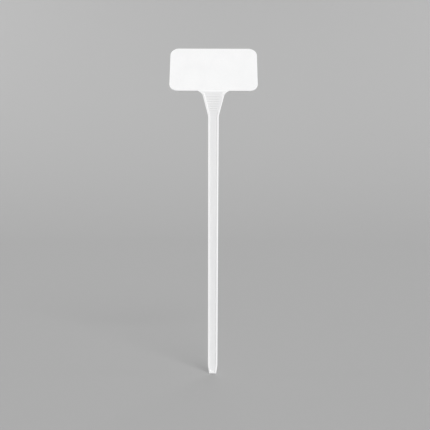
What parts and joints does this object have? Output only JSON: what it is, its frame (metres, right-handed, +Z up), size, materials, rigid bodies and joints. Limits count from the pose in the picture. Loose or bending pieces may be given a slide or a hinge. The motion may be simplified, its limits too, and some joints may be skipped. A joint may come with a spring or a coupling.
{
  "type": "plant label stake",
  "caption": "Tall T-shaped garden label: a blank rounded writing plate, tilted back, pushes by a rear sleeve onto the tongue of a channelled ground stake with a flared, ribbed neck and blunt tip.",
  "frame": {"origin": "centre of the tip's blunt end, at mid thickness of the stem", "axes": "+Z up the stem from the tip to the plate, -Y out of the front that is read, +X to the reader's right"},
  "size_m": [0.08, 0.0285, 0.2977],
  "materials": {
    "stake_plastic": "satin moulded white polypropylene",
    "plate_plastic": "fine matt moulded white polypropylene that takes a pencil or marker"
  },
  "bodies": {
    "ground_stake": {"stake": "stake_plastic"},
    "plate_head": {"label_plate": "plate_plastic"}
  },
  "joints": [
    {"name": "plate_lift", "type": "slide", "parent": "ground_stake", "child": "plate_head", "axis": [0, 0.515, 0.8572], "range_m": [0, 0.024]}
  ]
}
